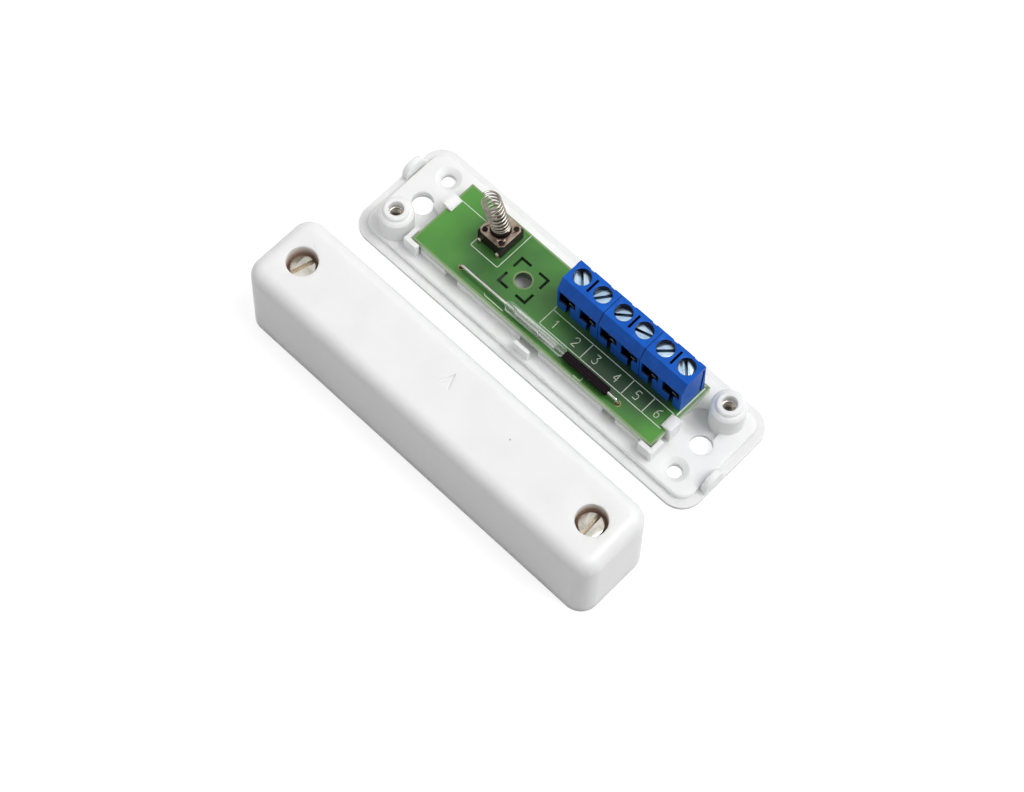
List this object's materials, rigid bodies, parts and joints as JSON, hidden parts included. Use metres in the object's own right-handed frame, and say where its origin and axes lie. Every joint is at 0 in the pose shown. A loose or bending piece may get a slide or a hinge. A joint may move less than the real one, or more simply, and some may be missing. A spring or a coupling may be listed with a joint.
{
  "type": "magnetic door contact",
  "caption": "Surface magnetic door contact: open reed switch unit with tamper spring and screw terminals beside its closed magnet unit.",
  "frame": {"origin": "middle of the pair's outline, on the plane that both units' backs lie on", "axes": "+X along both units, +Y from the magnet unit to the switch unit, +Z out of the mounting surface"},
  "size_m": [0.085, 0.0516, 0.0199],
  "materials": {
    "white_plastic": "fine satin moulded",
    "nickel": "bright nickel plate",
    "green_board": "solder mask over copper",
    "dark_plastic": "satin",
    "brown_metal": "dull plated sheet",
    "spring_steel": "drawn wire",
    "tinned_metal": "bright tin plate",
    "clear_glass": "clear",
    "black_sleeve": "shrunk sleeve, satin",
    "ferrite": "sintered",
    "screw_steel": "dull nickel plate",
    "zinc_screw": "bright zinc plate",
    "blue_plastic": "satin moulded",
    "brass": "plain"
  },
  "bodies": {
    "units": {"switch_base": "white_plastic", "switch_insert_left": "nickel", "switch_insert_right": "nickel", "circuit_board": "green_board", "tamper_switch_body": "dark_plastic", "tamper_cover_plate": "brown_metal", "tamper_contact_dome": "spring_steel", "tamper_switch_pins": "tinned_metal", "reed_glass": "clear_glass", "reed_blade_left": "tinned_metal", "reed_blade_right": "tinned_metal", "reed_sleeve": "black_sleeve", "magnet_cover": "white_plastic", "magnet_base": "white_plastic", "bar_magnet": "ferrite", "magnet_insert_left": "nickel", "magnet_insert_right": "nickel", "magnet_cover_screw_left": "screw_steel", "magnet_cover_screw_right": "screw_steel", "terminal_housing_1": "blue_plastic", "terminal_housing_2": "blue_plastic", "terminal_housing_3": "blue_plastic", "terminal_contact_1": "tinned_metal", "terminal_contact_2": "tinned_metal", "terminal_contact_3": "tinned_metal", "terminal_contact_4": "tinned_metal", "terminal_contact_5": "tinned_metal", "terminal_contact_6": "tinned_metal"},
    "button": {"tamper_button": "dark_plastic", "tamper_spring": "spring_steel"},
    "screw_1": {"terminal_screw_1": "zinc_screw"},
    "clamp_1": {"terminal_clamp_1": "brass"},
    "screw_2": {"terminal_screw_2": "zinc_screw"},
    "clamp_2": {"terminal_clamp_2": "brass"},
    "screw_3": {"terminal_screw_3": "zinc_screw"},
    "clamp_3": {"terminal_clamp_3": "brass"},
    "screw_4": {"terminal_screw_4": "zinc_screw"},
    "clamp_4": {"terminal_clamp_4": "brass"},
    "screw_5": {"terminal_screw_5": "zinc_screw"},
    "clamp_5": {"terminal_clamp_5": "brass"},
    "screw_6": {"terminal_screw_6": "zinc_screw"},
    "clamp_6": {"terminal_clamp_6": "brass"}
  },
  "joints": [
    {"name": "tamper_press", "type": "slide", "parent": "units", "child": "button", "axis": [0, 0, -1], "range_m": [0, 0.00025], "stiffness_N_per_m": 4000, "deforming": ["tamper_contact_dome"]},
    {"name": "screw_turn_1", "type": "hinge", "parent": "units", "child": "screw_1", "pos_m": [0.00124, 0.01735, 0.0145], "axis": [0, 0, -1], "range_deg": [0, 900]},
    {"name": "clamp_rise_1", "type": "slide", "parent": "units", "child": "clamp_1", "axis": [0, 0, 1], "range_m": [0, 0.00125]},
    {"name": "screw_turn_2", "type": "hinge", "parent": "units", "child": "screw_2", "pos_m": [0.00632, 0.01735, 0.0145], "axis": [0, 0, -1], "range_deg": [0, 900]},
    {"name": "clamp_rise_2", "type": "slide", "parent": "units", "child": "clamp_2", "axis": [0, 0, 1], "range_m": [0, 0.00125]},
    {"name": "screw_turn_3", "type": "hinge", "parent": "units", "child": "screw_3", "pos_m": [0.0114, 0.01735, 0.0145], "axis": [0, 0, -1], "range_deg": [0, 900]},
    {"name": "clamp_rise_3", "type": "slide", "parent": "units", "child": "clamp_3", "axis": [0, 0, 1], "range_m": [0, 0.00125]},
    {"name": "screw_turn_4", "type": "hinge", "parent": "units", "child": "screw_4", "pos_m": [0.01648, 0.01735, 0.0145], "axis": [0, 0, -1], "range_deg": [0, 900]},
    {"name": "clamp_rise_4", "type": "slide", "parent": "units", "child": "clamp_4", "axis": [0, 0, 1], "range_m": [0, 0.00125]},
    {"name": "screw_turn_5", "type": "hinge", "parent": "units", "child": "screw_5", "pos_m": [0.02156, 0.01735, 0.0145], "axis": [0, 0, -1], "range_deg": [0, 900]},
    {"name": "clamp_rise_5", "type": "slide", "parent": "units", "child": "clamp_5", "axis": [0, 0, 1], "range_m": [0, 0.00125]},
    {"name": "screw_turn_6", "type": "hinge", "parent": "units", "child": "screw_6", "pos_m": [0.02664, 0.01735, 0.0145], "axis": [0, 0, -1], "range_deg": [0, 900]},
    {"name": "clamp_rise_6", "type": "slide", "parent": "units", "child": "clamp_6", "axis": [0, 0, 1], "range_m": [0, 0.00125]}
  ],
  "couplings": [
    {"joint": "screw_turn_1", "follows": "clamp_rise_1", "rad_per_m": 12566},
    {"joint": "screw_turn_2", "follows": "clamp_rise_2", "rad_per_m": 12566},
    {"joint": "screw_turn_3", "follows": "clamp_rise_3", "rad_per_m": 12566},
    {"joint": "screw_turn_4", "follows": "clamp_rise_4", "rad_per_m": 12566},
    {"joint": "screw_turn_5", "follows": "clamp_rise_5", "rad_per_m": 12566},
    {"joint": "screw_turn_6", "follows": "clamp_rise_6", "rad_per_m": 12566}
  ]
}
